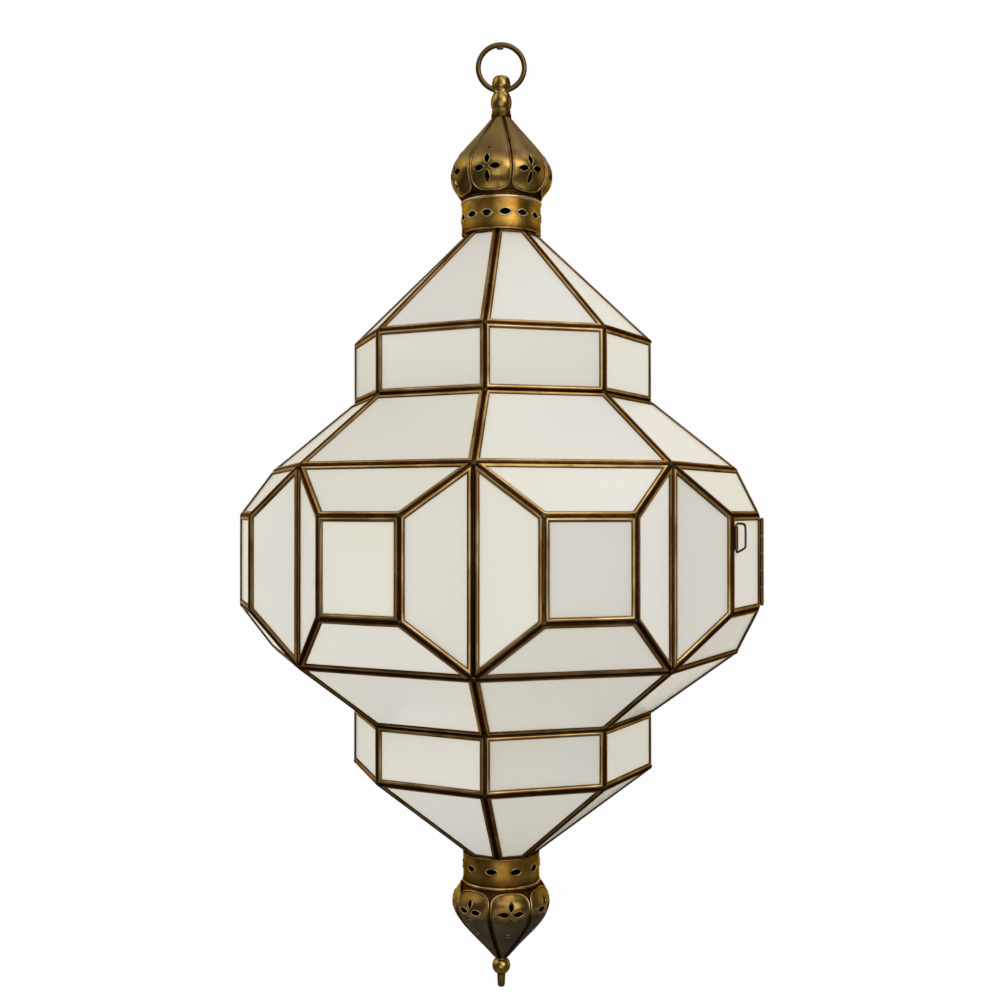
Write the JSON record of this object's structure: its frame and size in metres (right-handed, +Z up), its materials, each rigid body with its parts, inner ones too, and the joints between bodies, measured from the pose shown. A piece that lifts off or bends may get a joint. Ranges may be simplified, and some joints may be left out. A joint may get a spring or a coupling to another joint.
{
  "type": "pendant lantern",
  "caption": "Octagonal pendant lantern of milky glass panes in brass channel, with a pierced dome at each end, a hinged pane as its door and a hanging ring.",
  "frame": {"origin": "inside top of the hanging ring, where the hook bears", "axes": "+Z up, -Y out through the door, +X to the right as seen facing the door"},
  "size_m": [0.4836, 0.4904, 0.8999],
  "materials": {
    "antique_brass": "antique, soldered",
    "collar_brass": "warm, worn bright",
    "dark_brass": "dark patina",
    "bright_brass": "turned, bright",
    "opal_glass": "milky, semi-gloss",
    "black_phenolic": "moulded",
    "ceramic": "white ceramic",
    "black_rubber": "matte"
  },
  "bodies": {
    "hanger": {"hanging_ring": "antique_brass"},
    "lantern": {"finial_knob": "antique_brass", "stem_tube": "antique_brass", "stem_nuts": "bright_brass", "top_dome_gores": "dark_brass", "top_dome_seams": "collar_brass", "top_bead": "collar_brass", "top_collar": "collar_brass", "top_plate": "antique_brass", "cable_grommet": "black_rubber", "earth_screw": "bright_brass", "holder_cap": "black_phenolic", "holder_insulator": "ceramic", "holder_contact": "bright_brass", "holder_body": "black_phenolic", "holder_shell": "bright_brass", "upper_cone_cames": "antique_brass", "upper_cone_glass": "opal_glass", "upper_band_cames": "antique_brass", "upper_band_glass": "opal_glass", "upper_shoulder_cames": "antique_brass", "upper_shoulder_glass": "opal_glass", "belt_cames_1": "antique_brass", "belt_cames_2": "antique_brass", "belt_cames_3": "antique_brass", "belt_cames_4": "antique_brass", "belt_cames_5": "antique_brass", "belt_cames_6": "antique_brass", "belt_cames_7": "antique_brass", "belt_cames_8": "antique_brass", "belt_glass_1": "opal_glass", "belt_glass_2": "opal_glass", "belt_glass_3": "opal_glass", "belt_glass_4": "opal_glass", "belt_glass_5": "opal_glass", "belt_glass_6": "opal_glass", "belt_glass_7": "opal_glass", "belt_glass_8": "opal_glass", "lower_shoulder_cames": "antique_brass", "lower_shoulder_glass": "opal_glass", "lower_band_cames": "antique_brass", "lower_band_glass": "opal_glass", "lower_cone_cames": "antique_brass", "lower_cone_glass": "opal_glass", "bottom_plate": "antique_brass", "bottom_collar": "collar_brass", "bottom_bead": "collar_brass", "bottom_dome_gores": "dark_brass", "bottom_dome_seams": "collar_brass", "bottom_tie_rod": "bright_brass", "bottom_nut": "bright_brass", "bottom_finial": "antique_brass", "hinge_knuckles_fixed": "antique_brass", "hinge_pin": "bright_brass"},
    "door": {"door_cames": "antique_brass", "door_glass": "opal_glass", "hinge_knuckles_door": "antique_brass", "pull_tube": "antique_brass"},
    "pull": {"door_pull": "dark_brass"}
  },
  "joints": [
    {"name": "ring_swing", "type": "hinge", "parent": "hanger", "child": "lantern", "pos_m": [0, 0, -0.0415], "axis": [0.4695, -0.8829, 0], "range_deg": [-147, 147]},
    {"name": "door_swing", "type": "hinge", "parent": "lantern", "child": "door", "pos_m": [0.03929, -0.24262, -0.48805], "axis": [0, 0, 1], "range_deg": [0, 180]},
    {"name": "pull_swing", "type": "hinge", "parent": "door", "child": "pull", "pos_m": [-0.0361, -0.2434, -0.46545], "axis": [0, 0, -1], "range_deg": [-25, 170]}
  ]
}
